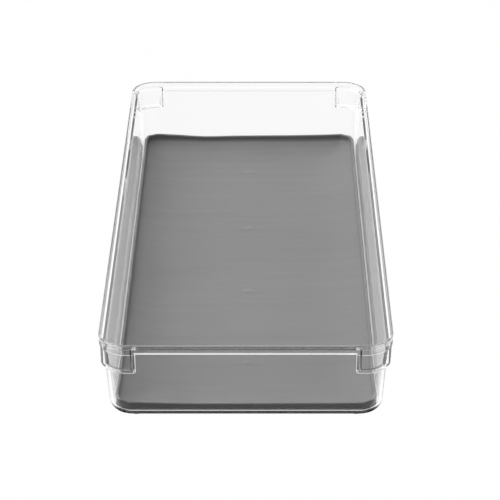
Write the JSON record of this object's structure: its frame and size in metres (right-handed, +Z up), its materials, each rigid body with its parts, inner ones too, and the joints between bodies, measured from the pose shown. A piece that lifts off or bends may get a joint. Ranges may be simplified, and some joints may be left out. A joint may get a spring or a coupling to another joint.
{
  "type": "fridge bin",
  "caption": "Long shallow clear plastic bin for a fridge shelf, with a stepped rim, corner stacking ledges, a coved grey soft-grip floor liner and non-slip feet.",
  "frame": {"origin": "centre of the footprint, on the surface that the feet stand on", "axes": "+X across the bin, +Y along the bin towards its back, +Z up out of the open top"},
  "size_m": [0.166, 0.37, 0.0522],
  "materials": {
    "clear_plastic": "crystal clear, polished",
    "liner_grey": "matt, soft-grip, very fine grain",
    "foot_grey": "matt"
  },
  "bodies": {
    "root": {"bin_shell": "clear_plastic", "floor_liner": "liner_grey", "foot_front_left": "foot_grey", "foot_front_right": "foot_grey", "foot_back_left": "foot_grey", "foot_back_right": "foot_grey"}
  },
  "joints": []
}
